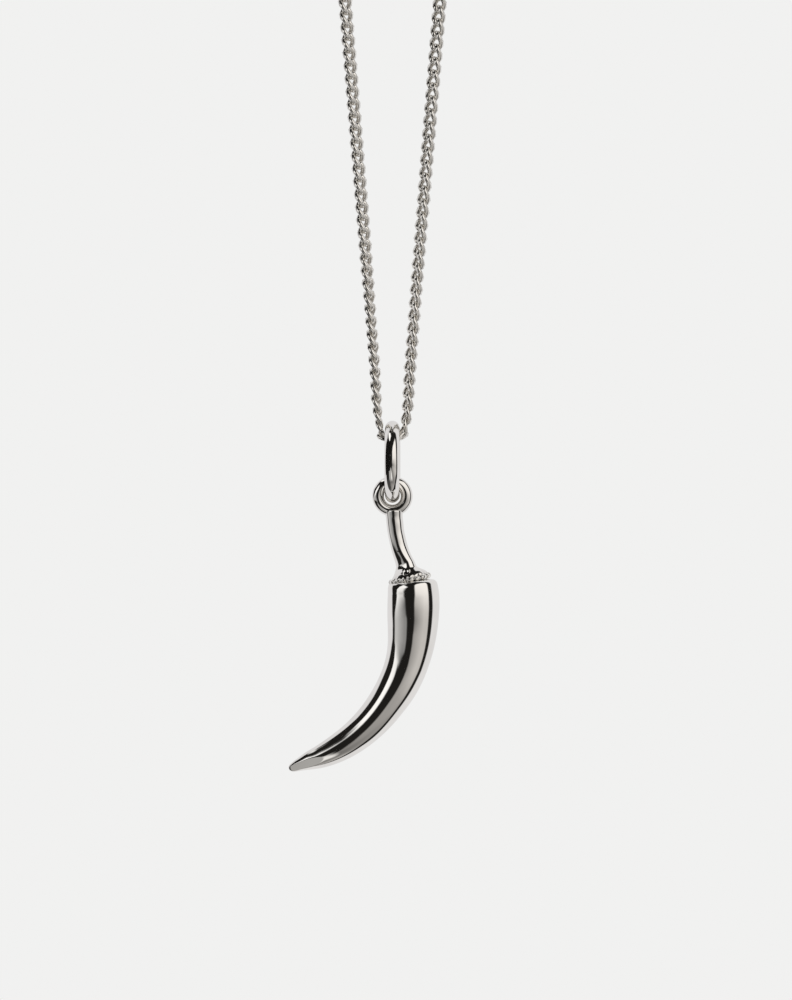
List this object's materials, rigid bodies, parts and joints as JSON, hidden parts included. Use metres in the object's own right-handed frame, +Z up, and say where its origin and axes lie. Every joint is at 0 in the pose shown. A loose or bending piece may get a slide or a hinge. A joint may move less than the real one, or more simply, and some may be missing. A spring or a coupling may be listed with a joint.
{
  "type": "chili pepper charm necklace",
  "caption": "Curved silver chili charm with curled calyx and cast eye, hung from a round bail ring on a whole loop of fine curb chain with a spring-ring clasp.",
  "frame": {"origin": "where the necklace hangs: the inside of the chain at the top of the loop", "axes": "+Z up, +X to the viewer's right, the front of the charm faces -Y, and the loop of chain lies in the XZ plane"},
  "size_m": [0.0359, 0.0092, 0.2515],
  "materials": {
    "chain_silver": "polished wire, softer in the link bends",
    "clasp_silver": "polished",
    "bail_silver": "bright polished",
    "charm_silver": "mirror polished cast silver"
  },
  "bodies": {
    "chain": {"chain": "chain_silver", "clasp": "clasp_silver"},
    "bail": {"bail_ring": "bail_silver"},
    "charm": {"chili_charm": "charm_silver"}
  },
  "joints": [
    {"name": "bail_swing", "type": "hinge", "parent": "chain", "child": "bail", "pos_m": [0, 0, -0.21345], "axis": [1, 0, 0], "range_deg": [-90, 90]},
    {"name": "charm_swing", "type": "hinge", "parent": "bail", "child": "charm", "pos_m": [0, 0, -0.2196], "axis": [0, 1, 0], "range_deg": [-90, 90]}
  ]
}
